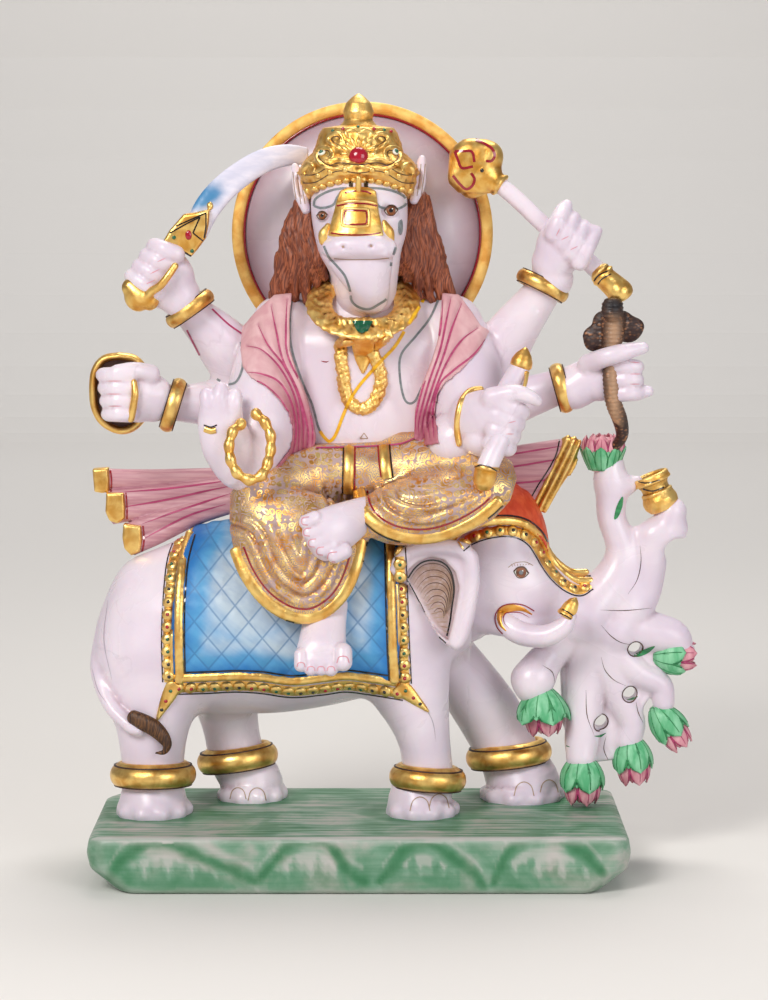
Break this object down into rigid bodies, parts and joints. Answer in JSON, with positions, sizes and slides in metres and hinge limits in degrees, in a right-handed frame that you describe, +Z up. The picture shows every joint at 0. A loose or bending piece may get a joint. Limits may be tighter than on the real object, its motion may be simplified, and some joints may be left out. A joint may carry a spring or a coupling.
{
  "type": "carved and painted deity figure",
  "caption": "Carved marble figure of a crowned, boar-faced rider on a many-trunked elephant, painted and gilded, in one block with its slab; it stands on its flat underside.",
  "frame": {"origin": "middle of the slab's flat underside", "axes": "+Z up; the rider faces -Y; +X is the viewer's right, where the elephant's head and trunks are"},
  "size_m": [0.4858, 0.203, 0.61],
  "materials": {
    "painted_marble": "polished white marble, partly painted and gilded"
  },
  "bodies": {
    "root": {"carved_marble_group": "painted_marble"}
  },
  "joints": []
}
